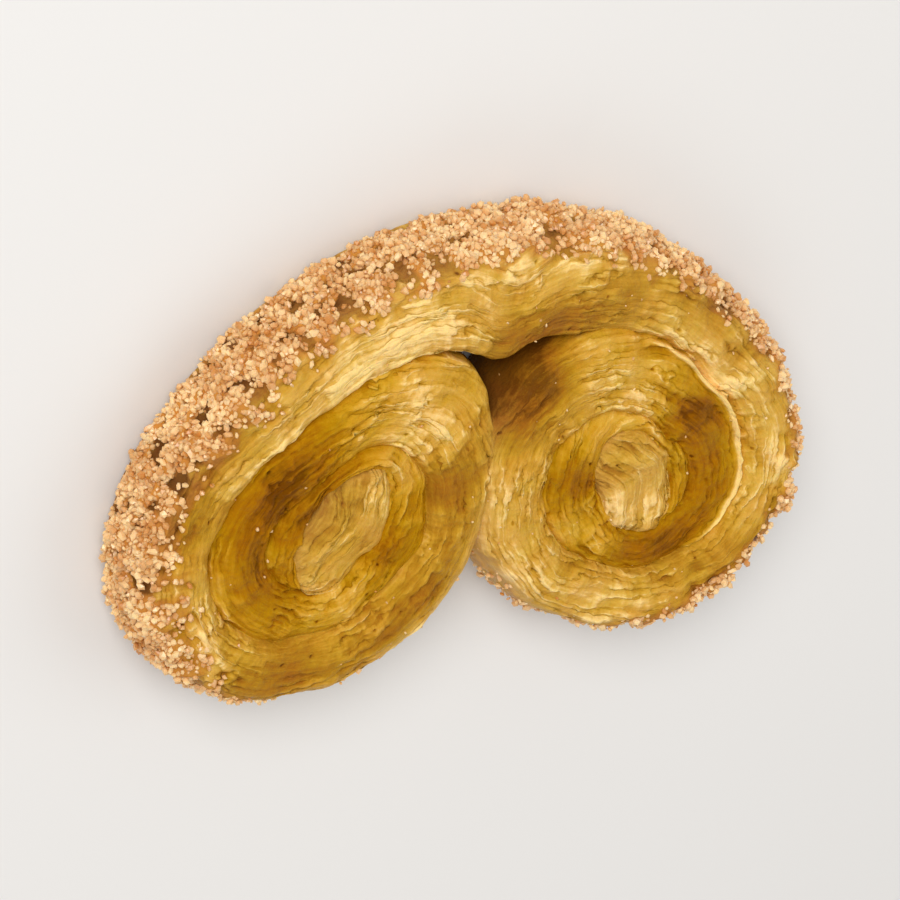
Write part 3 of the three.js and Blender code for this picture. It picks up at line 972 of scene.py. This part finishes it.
def sheet_tree(material):
    """Bends an outline onto the sections of each length in turn and bakes them into one."""
    tree, given, out = node_tree(
        "rolled sheet",
        (
            ("Geometry", "NodeSocketGeometry"),
            ("Section outline", "NodeSocketObject"),
            ("Lengths", "NodeSocketInt"),
            *((name, FLOAT) for name in SHEET_SIZES),
        ),
    )
    loop = add(tree, "GeometryNodeRepeatInput", {"Iterations": given["Lengths"]})
    loop_end = add(tree, "GeometryNodeRepeatOutput")
    loop.pair_with_output(loop_end)

    # the rungs of this length, and a grid with a row for each of them
    number = attribute(tree, "length", "INT")
    this_one = compared(tree, "EQUAL", number, loop.outputs["Iteration"])
    links = {"Geometry": given["Geometry"], "Selection": this_one}
    rungs = add(tree, "GeometryNodeSeparateGeometry", links).outputs["Selection"]
    links = {"Object": given["Section outline"]}
    outline = add(tree, "GeometryNodeObjectInfo", links).outputs["Geometry"]
    rows = whole(tree, "DIVIDE", point_count(tree, rungs), 2)
    ring = point_count(tree, outline)
    links = {"Size X": 1.0, "Size Y": 1.0, "Vertices X": rows, "Vertices Y": ring}
    grid = made(tree, "GeometryNodeMeshGrid", links)
    index = made(tree, "GeometryNodeInputIndex")
    row = whole(tree, "DIVIDE", index, ring)
    column = whole(tree, "MODULO", index, ring)
    inner_at = whole(tree, "MULTIPLY", row, 2)
    outer_at = whole(tree, "ADD", inner_at, 1)
    place = made(tree, "GeometryNodeInputPosition")
    inner, outer = (sampled(tree, rungs, place, at) for at in (inner_at, outer_at))
    facts = {}
    for name in FACTS:
        facts[name] = parts_of(tree, sampled(tree, rungs, attribute(tree, name), inner_at))
    height, lift, opened = facts["rise"]
    inner_seam, outer_seam, lip = facts["seams"]
    along, sugar, fold = facts["place"]
    inner_wall, outer_wall, spill = facts["walls"]
    across, up, _ = parts_of(tree, sampled(tree, outline, place, column))

    # distances from the two edges
    span = vector(tree, "SUBTRACT", outer, inner)
    width = add(tree, "ShaderNodeVectorMath", {0: span}, operation="LENGTH").outputs["Value"]
    outward = vector(tree, "NORMALIZE", span)
    from_inner = calc(tree, "MULTIPLY", across, width)
    from_outer = calc(tree, "SUBTRACT", width, from_inner)
    widest = calc(tree, "MULTIPLY", width, WIDEST_SHOULDER)
    shoulder = calc(tree, "MINIMUM", given["Shoulder"], widest)
    rounding = rounding_tree()
    inner_round, outer_round = (
        made(
            tree,
            "GeometryNodeGroup",
            {"Distance": distance, "Width": shoulder},
            node_tree=rounding,
        )
        for distance in (from_inner, from_outer)
    )
    plan = vector(tree, "MULTIPLY_ADD", outward, from_inner, inner)

    # sugar covers the rim, and spills onto the face with a ragged border
    ragged = noise(tree, plan, 2.2 * MM, 3.0)["Fac"]
    ragged_by = ranged(tree, ragged, NOISE, RAGGED)
    reach = calc(tree, "MULTIPLY", ragged_by, spill)
    reach = calc(tree, "ADD", reach, LEAST_SPILL)
    on_rim = ranged(tree, from_outer, (0.1 * MM, reach), (1.0, 0.0))
    above = ranged(tree, up, SUGAR_ABOVE)
    crusted = calc(tree, "MULTIPLY", on_rim, above)
    crust = calc(tree, "MULTIPLY", crusted, sugar)
    lumps_up = calc(tree, "MULTIPLY", up, LUMP_RISE)
    lumps_at = vector(tree, "ADD", plan, combined(tree, z=lumps_up))
    lumps = noise(tree, lumps_at, LUMP_WIDTH, 1.0)["Fac"]
    lump = ranged(tree, lumps, NOISE, (-LUMP_HEIGHT, LUMP_HEIGHT))
    lumpy = calc(tree, "MULTIPLY", lump, crust)

    # plan position, with walls that bulge and wander
    swell = calc(tree, "SINE", calc(tree, "MULTIPLY", up, math.pi))
    side = calc(tree, "MULTIPLY_ADD", across, 2.0, -1.0)
    swollen = calc(tree, "MULTIPLY", swell, side)
    bulged = calc(tree, "MULTIPLY_ADD", swollen, given["Bulge"], from_inner)
    lumped = calc(tree, "ADD", bulged, lumpy)
    reached = vector(tree, "ADD", scaled(tree, outward, lumped), inner)
    wander_up = calc(tree, "MULTIPLY", up, WANDER_RISE)
    wander_at = vector(tree, "ADD", plan, combined(tree, z=wander_up))
    wander = noise(tree, wander_at, WANDER_WIDTH)["Color"]
    wander = vector(tree, "SUBTRACT", wander, (0.5, 0.5, 0.5))
    wandered = vector(tree, "MULTIPLY_ADD", wander, (WANDER, WANDER, 0.0), reached)

    # height of the top: crown, shoulders, lip, fold and relief
    links = {"Place": combined(tree, along, from_inner), "Position": plan}
    links.update((name, given[name]) for name in RELIEF_SIZES)
    group = add(tree, "GeometryNodeGroup", links, node_tree=relief_tree())
    relief, parted = group.outputs
    crown = calc(tree, "MULTIPLY", calc(tree, "MULTIPLY", side, side), given["Crown"])
    drop = calc(tree, "MULTIPLY_ADD", inner_round, inner_seam, crown)
    drop = calc(tree, "MULTIPLY_ADD", outer_round, outer_seam, drop)
    lip_share = ranged(tree, from_outer, LIP_PLACE, (0.0, math.pi))
    lip_rise = calc(tree, "SINE", lip_share)
    lipped = calc(tree, "MULTIPLY_ADD", lip_rise, lip, relief)
    off_middle = calc(tree, "ABSOLUTE", side)
    fold_share = ranged(tree, off_middle, FOLD_PLACE, (1.0, 0.0), eased=True)
    folded = calc(tree, "MULTIPLY", fold_share, fold)
    sunk = calc(tree, "ADD", drop, folded)
    bare_top = calc(tree, "SUBTRACT", height, sunk)
    bare_top = calc(tree, "ADD", bare_top, lumpy)
    top = calc(tree, "ADD", bare_top, lipped)
    both_round = calc(tree, "ADD", inner_round, outer_round)
    bottom = calc(tree, "MULTIPLY_ADD", both_round, given["Foot"], lift)
    z = made(tree, "ShaderNodeMix", {"Factor": up, "A": bottom, "B": top}, data_type="FLOAT")
    standing = vector(tree, "ADD", wandered, combined(tree, z=z))
    # the last ring of a hidden end closes in one point
    both = vector(tree, "ADD", inner, outer)
    closing = vector(tree, "MULTIPLY_ADD", both, (0.5, 0.5, 0.0), (0.0, 0.0, CLOSING_HEIGHT))
    links = {"Factor": opened, "A": closing, "B": standing}
    final = add(tree, "ShaderNodeMix", links, data_type="VECTOR").outputs[1]

    # how brown the face is: between the five places that the section tells
    tones = [*facts["browned"], *facts["browned_on"][:2]]
    face_brown = tones[0]
    for step, (low, high) in enumerate(zip(tones, tones[1:])):
        rise = calc(tree, "SUBTRACT", high, low)
        part = ranged(tree, across, (step / 4, (step + 1) / 4), (0.0, rise))
        face_brown = calc(tree, "ADD", face_brown, part)
    # the lip is painted pale, as a dry edge and as a painted highlight where it stands up, and the
    # underside darker than the face
    lip_pale_and_highlight = calc(tree, "MULTIPLY", lip_rise, lip)
    face_brown = calc(tree, "MULTIPLY_ADD", lip_pale_and_highlight, -1.0 / MM, face_brown)
    under = ranged(tree, z, UNDERSIDE, (UNDER_TONE, 0.0), eased=True)
    face_brown = calc(tree, "ADD", face_brown, under)
    # walls are browner the deeper they lie below the face, most of all down the hole, where the
    # brown is painted shade
    wall_brown_and_shade = ranged(tree, across, (0.0, 1.0), (inner_wall, outer_wall))
    depth = calc(tree, "SUBTRACT", height, z)
    wall_share = ranged(tree, depth, WALL_DEPTH, eased=True)
    wall_share = calc(tree, "MULTIPLY", wall_share, above)
    brown = calc(tree, "MULTIPLY_ADD", wall_share, wall_brown_and_shade, face_brown)
    # melted sugar has browned the crumb under the crust, and the brown also stands in for painted
    # shade between the crystals
    brown = calc(tree, "MULTIPLY_ADD", crust, CRUST_CARAMEL_AND_SHADE, brown)
    # a free rim is dry and floury
    free = calc(tree, "SUBTRACT", 1.0, outer_wall)
    near_rim = ranged(tree, from_outer, DRY_RIM, (free, 0.0))
    dryness = calc(tree, "ADD", facts["browned_on"][2], near_rim)
    clumped = ranged(tree, lumps, CLUMPED, CLUMP_SHARES)
    # a wall shows the one smooth leaf that lies outermost
    on_top = ranged(tree, up, FACE_ABOVE)
    beneath = ranged(tree, up, FACE_BELOW)
    on_face = calc(tree, "MAXIMUM", on_top, beneath)
    leaved = calc(tree, "MULTIPLY", on_face, parted)

    # what the finish reads is kept on the points, and on the corners once they are merged
    kept_facts = {
        "sheet_place": combined(tree, along, from_inner, z),
        "baked": combined(tree, brown, relief, dryness),
        "crust": combined(tree, crust, clumped, leaved),
    }
    current = grid
    for name, value in kept_facts.items():
        current = stored(tree, current, "point_" + name, value, "POINT")
    current = moved(tree, current, Position=final)
    links = {"Geometry": current, "Distance": MERGED_WITHIN}
    current = made(tree, "GeometryNodeMergeByDistance", links)
    for name in kept_facts:
        value = attribute(tree, "point_" + name)
        current = stored(tree, current, name, value, "CORNER")
        links = {"Geometry": current, "Name": "point_" + name}
        current = made(tree, "GeometryNodeRemoveAttribute", links)

    # each length is baked together with those before it
    union = add(tree, "GeometryNodeMeshBoolean", operation="UNION", solver="MANIFOLD")
    for part in (loop.outputs["Geometry"], current):
        tree.links.new(part, union.inputs["Mesh"])
    tree.links.new(union.outputs["Mesh"], loop_end.inputs["Geometry"])
    body = largest_body(tree, loop_end.outputs["Geometry"])
    body = made(tree, "GeometryNodeSetShadeSmooth", {"Geometry": body})
    end_tree(tree, body, material, out)
    return tree


def largest_body(tree, joined):
    """The largest body of a mesh, without the slits that are closed inside it."""
    island = add(tree, "GeometryNodeInputMeshIsland").outputs["Island Index"]
    links = {"Value": 1, "Group ID": island}
    points = add(
        tree, "GeometryNodeAccumulateField", links, data_type="INT", domain="POINT"
    ).outputs["Total"]
    links = {"Geometry": joined, "Attribute": points}
    most = add(tree, "GeometryNodeAttributeStatistic", links, domain="POINT").outputs["Max"]
    links = {"Geometry": joined, "Selection": compared(tree, "LESS_THAN", points, most)}
    return made(tree, "GeometryNodeDeleteGeometry", links, domain="POINT")


# ---------------------------------------------------------------- the sugar


def crystal_kinds(tree, position):
    """Chipped blocks of about one metre, one instance each, to be scaled down."""
    kinds = add(tree, "GeometryNodeJoinGeometry")
    for number, block in enumerate(CRYSTAL_BLOCKS):
        ball = made(tree, "GeometryNodeMeshIcoSphere", {"Radius": CRYSTAL_RADIUS, "Subdivisions": 1})
        low, high = ((share, share, share) for share in CRYSTAL_CHIPS)
        chip = random_between(tree, low, high, number, "FLOAT_VECTOR")
        blocky = vector(tree, "MULTIPLY", position, block)
        chipped = moved(tree, ball, Position=vector(tree, "MULTIPLY", blocky, chip))
        hull = made(tree, "GeometryNodeConvexHull", {"Geometry": chipped})
        one = made(tree, "GeometryNodeGeometryToInstance", {"Geometry": hull})
        tree.links.new(one, kinds.inputs[0])
    return kinds.outputs[0]


def crystal_tree(material):
    """Beds sugar crystals in the crusted faces of a mesh, in two layers."""
    tree, given, out = node_tree(
        "sugar crystals",
        (
            ("Geometry", "NodeSocketGeometry"),
            ("Crystal size", FLOAT),
            ("Crystal gap", FLOAT),
            ("Seed", "NodeSocketInt", 7),
        ),
    )
    crusted, clumped, _ = parts_of(tree, attribute(tree, "crust"))
    share = calc(tree, "MULTIPLY", crusted, clumped)
    # small grains lie on the bare face too
    share = calc(tree, "ADD", share, STRAY_SHARE)
    full = ranged(tree, crusted, STRAY_CRUST, STRAY_SIZES)
    position = made(tree, "GeometryNodeInputPosition")
    kinds = crystal_kinds(tree, position)
    beds = add(tree, "GeometryNodeJoinGeometry")
    for number, (gap, density, raised, scale) in enumerate(CRYSTAL_BEDS):
        spread = add(
            tree,
            "GeometryNodeDistributePointsOnFaces",
            {
                "Mesh": given["Geometry"],
                "Distance Min": calc(tree, "MULTIPLY", given["Crystal gap"], gap),
                "Density Max": density,
                "Density Factor": share,
                "Seed": whole(tree, "ADD", given["Seed"], number),
            },
            distribute_method="POISSON",
        ).outputs
        bed = calc(tree, "MULTIPLY", given["Crystal size"], raised)
        bedded = moved(tree, spread["Points"], Offset=scaled(tree, spread["Normal"], bed))
        x, y, z = parts_of(tree, position)
        lowest, highest = CRYSTAL_LEVELS
        links = {"Value": z, "Min": lowest, "Max": highest}
        held = made(tree, "ShaderNodeClamp", links)
        bedded = moved(tree, bedded, Position=combined(tree, x, y, held))
        none, full_turn = (0.0, 0.0, 0.0), (math.tau, math.tau, math.tau)
        turn = random_between(tree, none, full_turn, TURN_SEED + number, "FLOAT_VECTOR")
        smallest, largest = (scale * part for part in CRYSTAL_SCALES)
        length = random_between(tree, smallest, largest, SCALE_SEED + number)
        length = calc(tree, "MULTIPLY", length, given["Crystal size"])
        length = calc(tree, "MULTIPLY", length, full)
        last = len(CRYSTAL_BLOCKS) - 1
        kind = random_between(tree, 0, last, KIND_SEED + number, "INT")
        placed = made(
            tree,
            "GeometryNodeInstanceOnPoints",
            {
                "Points": bedded,
                "Instance": kinds,
                "Pick Instance": True,
                "Instance Index": kind,
                "Rotation": made(tree, "FunctionNodeEulerToRotation", {"Euler": turn}),
                "Scale": length,
            },
        )
        tree.links.new(placed, beds.inputs[0])
    toast = random_between(tree, 0.0, 1.0, TOAST_SEED)
    toned = stored(tree, beds.outputs[0], "toast", toast, "INSTANCE", "FLOAT")
    end_tree(tree, toned, material, out)
    return tree


# ---------------------------------------------------------------- finishes


def new_material(name, values):
    """A material with these values on its shader: the material, its tree and its shader."""
    material = bpy.data.materials.new(name)
    material.use_nodes = True
    tree = material.node_tree
    tree.nodes.clear()
    shader = add(tree, "ShaderNodeBsdfPrincipled")
    output = add(tree, "ShaderNodeOutputMaterial")
    tree.links.new(shader.outputs[0], output.inputs["Surface"])
    for key, value in values.items():
        shader.inputs[key].default_value = value
    return material, tree, shader


def read_back(tree, name, output="Vector"):
    """An attribute of the mesh, read in a material."""
    return add(tree, "ShaderNodeAttribute", attribute_name=name).outputs[output]


def object_place(tree):
    """Coordinates fixed to the object."""
    return add(tree, "ShaderNodeTexCoord").outputs["Object"]


def bumped(tree, shader, height, strength, distance):
    """Gives the shader a fine relief."""
    links = {"Height": height, "Strength": strength, "Distance": distance}
    tree.links.new(made(tree, "ShaderNodeBump", links), shader.inputs["Normal"])


def crust_colour(tree, tone, colours):
    """The colour of crumb and caramel, from 0 cream to 1 burnt."""
    ramp = add(tree, "ShaderNodeValToRGB", {"Fac": tone})
    elements = ramp.color_ramp.elements
    while len(elements) < len(TONE_STOPS):
        elements.new(0.5)
    for element, (name, at) in zip(elements, TONE_STOPS.items()):
        element.position = at
        element.color = (*getattr(colours, name), 1.0)
    return ramp.outputs["Color"]


def baked_pastry(colours, sizes):
    """Laminated puff pastry, baked in sugar.

    It gives the eye thin torn layers that run along the roll, pale and dry where they have
    puffed and amber and glossy where sugar has melted between them.
    """
    material, tree, shader = new_material(
        "baked_puff_pastry",
        {
            "IOR": 1.45,
            "Specular IOR Level": 0.16,
            "Specular Tint": (1.0, 0.7, 0.05, 1.0),
            "Subsurface Weight": 0.12,
            "Subsurface Radius": (1.0, 0.5, 0.15),
            "Subsurface Scale": 0.6 * MM,
        },
    )
    brown, height, dryness = parts_of(tree, read_back(tree, "baked"))
    sheet = read_back(tree, "sheet_place")
    crusted, clumped, parted = parts_of(tree, read_back(tree, "crust"))
    place = object_place(tree)
    # dark caramel has run between the layers and evens them out
    filled = ranged(tree, brown, CARAMEL, CARAMEL_FILLS)
    parted = calc(tree, "MULTIPLY", parted, filled)

    # each layer has its own tone, and a dark line at its torn edge is caramel and painted shade in
    # the groove
    part, level, tilt, lifted = layers(tree, sheet, sizes.layer_spacing)
    streak = ranged(tree, level, (0.33, 0.67), STREAK)
    edge = border_of(tree, part, lifted)
    line = calc(tree, "MULTIPLY", edge, TORN_CARAMEL_AND_SHADE)
    # some leaves have a thin edge that stands up dry beside the torn edge of the layer, painted pale
    # as dry crumb and as a painted highlight
    leaf_part = calc(tree, "FRACT", calc(tree, "ADD", part, PALE_LINE_AT))
    pale_edge = border_of(tree, leaf_part, tilt)
    dry_and_highlit_line = calc(tree, "MULTIPLY", pale_edge, PALE_EDGE_AND_HIGHLIGHT)
    # the pits are painted darker, as caramel and as painted shade in the hollow
    pit = calc(tree, "MULTIPLY", pits(tree, sheet), PIT_CARAMEL_AND_SHADE)
    # dips are painted darker and crests paler: melted sugar gathers in the dips, and the darkening
    # is also painted shade in the hollows
    dip_caramel_and_shade = ranged(tree, height, DIPS, DIP_CARAMEL_AND_SHADE)
    # the edges of leaves of dough
    links = {"Vector": sheet, "Scale": tuple(1 / size for size in LEAF)}
    leaves = noise(tree, made(tree, "ShaderNodeMapping", links), 1.0, 3.0, 0.6)["Fac"]
    leaf = ranged(tree, leaves, NOISE, LEAF_TONE)
    tone = calc(tree, "ADD", brown, dip_caramel_and_shade)
    tone = calc(tree, "ADD", tone, leaf)
    # where the layers are fused the caramel over them is smooth and even
    for change in (streak, line, dry_and_highlit_line):
        tone = calc(tree, "MULTIPLY_ADD", change, parted, tone)
    tone = calc(tree, "ADD", tone, pit)
    for width, amount in BLOTCHES:
        blotches = noise(tree, place, width, 3.0, 0.6)["Fac"]
        blotch = ranged(tree, blotches, NOISE, (-amount, amount))
        tone = calc(tree, "ADD", tone, blotch)

    # dry crumb is greyer than caramel of the same depth, and patches are more orange
    less = calc(tree, "MULTIPLY_ADD", dryness, DRY_GREYER, 1.0, clamp=True)
    patches = noise(tree, sheet, HUE_PATCH, 2.0, 0.6)["Fac"]
    hue = ranged(tree, patches, NARROW_NOISE, HUE_SHIFT)
    links = {"Hue": hue, "Saturation": less, "Color": crust_colour(tree, tone, colours)}
    dried = made(tree, "ShaderNodeHueSaturation", links)
    # melted sugar fills the gaps between the crystals where they lie thick
    thick = ranged(tree, clumped, MELTED)
    melted = calc(tree, "MULTIPLY", thick, crusted)
    glazed = blended(tree, melted, dried, (*colours.toasted, 1.0))
    tree.links.new(glazed, shader.inputs["Base Color"])
    gloss = ranged(tree, tone, GLOSSY, GLOSS)
    gloss = calc(tree, "MULTIPLY_ADD", parted, PARTED_DULLER, gloss)
    tree.links.new(gloss, shader.inputs["Roughness"])

    # the same leaves stand out, with a finer crumb over them
    crumb = noise(tree, place, FINE_CRUMB, 3.0, 0.6)["Fac"]
    fine = calc(tree, "ADD", leaves, crumb)
    for height_of, amount in zip((level, edge, pale_edge), STANDS_OUT):
        stands = calc(tree, "MULTIPLY", height_of, amount)
        fine = calc(tree, "MULTIPLY_ADD", stands, parted, fine)
    bumped(tree, shader, fine, strength=0.7, distance=0.2 * MM)
    return material


def sugar_crust(colours):
    """Coarse sugar that has baked on.

    It gives the eye small facets that glint, cream and a little see-through, some of them
    toasted to a light caramel.
    """
    material, tree, shader = new_material(
        "baked_sugar",
        {
            "Roughness": 0.32,
            "IOR": 1.54,
            "Subsurface Weight": 0.3,
            "Subsurface Radius": (1.0, 0.7, 0.4),
            "Subsurface Scale": 0.6 * MM,
        },
    )
    # patches that are toasted more
    patches = noise(tree, object_place(tree), TOASTED_PATCH)["Fac"]
    patch = ranged(tree, patches, NARROW_NOISE, TOASTED_MORE)
    toast = read_back(tree, "toast", "Fac")
    level = calc(tree, "MULTIPLY_ADD", toast, TOASTED_BY_CHANCE, patch, clamp=True)
    colour = blended(tree, level, (*colours.sugar, 1.0), (*colours.toasted, 1.0))
    tree.links.new(colour, shader.inputs["Base Color"])
    return material


def studio_floor(colours):
    """Matt painted board: pale, even, with no gloss to take the eye off the pastry."""
    values = {"Base Color": (*colours.floor, 1.0), "Roughness": 0.7}
    material, tree, shader = new_material("matt_board", values)
    grain = noise(tree, object_place(tree), 1.5 * MM, 3.0)["Fac"]
    bumped(tree, shader, grain, strength=0.1, distance=0.02 * MM)
    return material


# ---------------------------------------------------------------- pieces


class PALMIER_OT_pastry(bpy.types.Operator):
    """Winds, bakes and joins the sheet of puff pastry"""

    bl_idname = "palmier.pastry"
    bl_label = "Rolled pastry"

    def execute(self, context):
        sizes = context.scene.palmier_sizes
        outline = outline_object()
        lengths = sheet_lengths(sizes)
        values = {"Section outline": outline, "Lengths": len(lengths)}
        for name in SHEET_SIZES:
            values[name] = getattr(sizes, name.lower().replace(" ", "_"))
        material = baked_pastry(context.scene.palmier_colours, sizes)
        piece = grown("palmier_pastry", guide_mesh(lengths), sheet_tree(material), values)
        bpy.data.objects.remove(outline)
        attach(piece, "root")
        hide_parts("palmier")
        return {"FINISHED"}


class PALMIER_OT_sugar(bpy.types.Operator):
    """Beds coarse sugar crystals in the rim of the pastry"""

    bl_idname = "palmier.sugar"
    bl_label = "Sugar crust"

    def execute(self, context):
        sizes = context.scene.palmier_sizes
        pastry = bpy.data.objects["palmier_pastry"]
        piece = grown(
            "sugar_crystals",
            pastry.data.copy(),
            crystal_tree(sugar_crust(context.scene.palmier_colours)),
            {"Crystal size": sizes.crystal, "Crystal gap": sizes.crystal_gap},
        )
        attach(piece, "root")
        return {"FINISHED"}


class PALMIER_OT_stage(bpy.types.Operator):
    """Sets a pale floor, soft lights and the camera round the pastry"""

    bl_idname = "palmier.stage"
    bl_label = "Studio"

    def execute(self, context):
        scene = context.scene
        corners = [(x * FLOOR_HALF, y * FLOOR_HALF) for x, y in ((-1, -1), (1, -1), (1, 1), (-1, 1))]
        mesh = bpy.data.meshes.new("studio_floor")
        mesh.from_pydata([(x, y, -FLOOR_GAP) for x, y in corners], [], [(0, 1, 2, 3)])
        mesh.materials.append(studio_floor(scene.palmier_colours))
        floor = bpy.data.objects.new("studio_floor", mesh)
        scene.collection.objects.link(floor)

        world = bpy.data.worlds.new("studio")
        world.use_nodes = True
        background = world.node_tree.nodes["Background"]
        background.inputs["Color"].default_value = (*linear("#f4f2f0"), 1.0)
        background.inputs["Strength"].default_value = 0.5
        scene.world = world

        target = Vector(LOOKED_AT)
        for name, place, size, power in LIGHTS:
            data = bpy.data.lights.new(name, "AREA")
            data.shape = "DISK"
            data.size = size
            data.energy = power
            light = bpy.data.objects.new(name, data)
            light.location = place
            aim = (target - Vector(place)).to_track_quat("-Z", "Y")
            light.rotation_euler = aim.to_euler()
            scene.collection.objects.link(light)

        back = Vector(CAMERA_BACK).normalized()
        up = back.cross(Vector(CAMERA_RIGHT)).normalized()
        right = up.cross(back)
        data = bpy.data.cameras.new("camera")
        data.lens = 135
        data.clip_start = 0.01
        data.clip_end = 10
        camera = bpy.data.objects.new("camera", data)
        distance = VIEW_WIDTH / SENSOR_WIDTH * data.lens
        target += right * CAMERA_SHIFT[0] + up * CAMERA_SHIFT[1]
        turn = Matrix((right, up, back)).transposed()
        camera.matrix_world = Matrix.Translation(target + back * distance) @ turn.to_4x4()
        scene.collection.objects.link(camera)
        scene.camera = camera
        scene.view_settings.view_transform = "Standard"
        return {"FINISHED"}


class PALMIER_PT_panel(bpy.types.Panel):
    """Lists the sizes, the colours and the pieces"""

    bl_idname = "PALMIER_PT_panel"
    bl_label = "Palmier"
    bl_space_type = "VIEW_3D"
    bl_region_type = "UI"
    bl_category = "Palmier"

    def draw(self, context):
        for group in (context.scene.palmier_sizes, context.scene.palmier_colours):
            box = self.layout.box()
            for name in group.__annotations__:
                box.prop(group, name)
        for operator in OPERATORS:
            self.layout.operator(operator.bl_idname)


OPERATORS = (PALMIER_OT_pastry, PALMIER_OT_sugar, PALMIER_OT_stage)
CLASSES = (PalmierSizes, PalmierColours, *OPERATORS, PALMIER_PT_panel)


def register():
    for each in CLASSES:
        bpy.utils.register_class(each)
    bpy.types.Scene.palmier_sizes = bpy.props.PointerProperty(type=PalmierSizes)
    bpy.types.Scene.palmier_colours = bpy.props.PointerProperty(type=PalmierColours)


def unregister():
    del bpy.types.Scene.palmier_colours
    del bpy.types.Scene.palmier_sizes
    for each in reversed(CLASSES):
        bpy.utils.unregister_class(each)


def main():
    register()
    bpy.ops.palmier.pastry()
    bpy.ops.palmier.sugar()
    bpy.ops.palmier.stage()


if __name__ == "__main__":
    main()
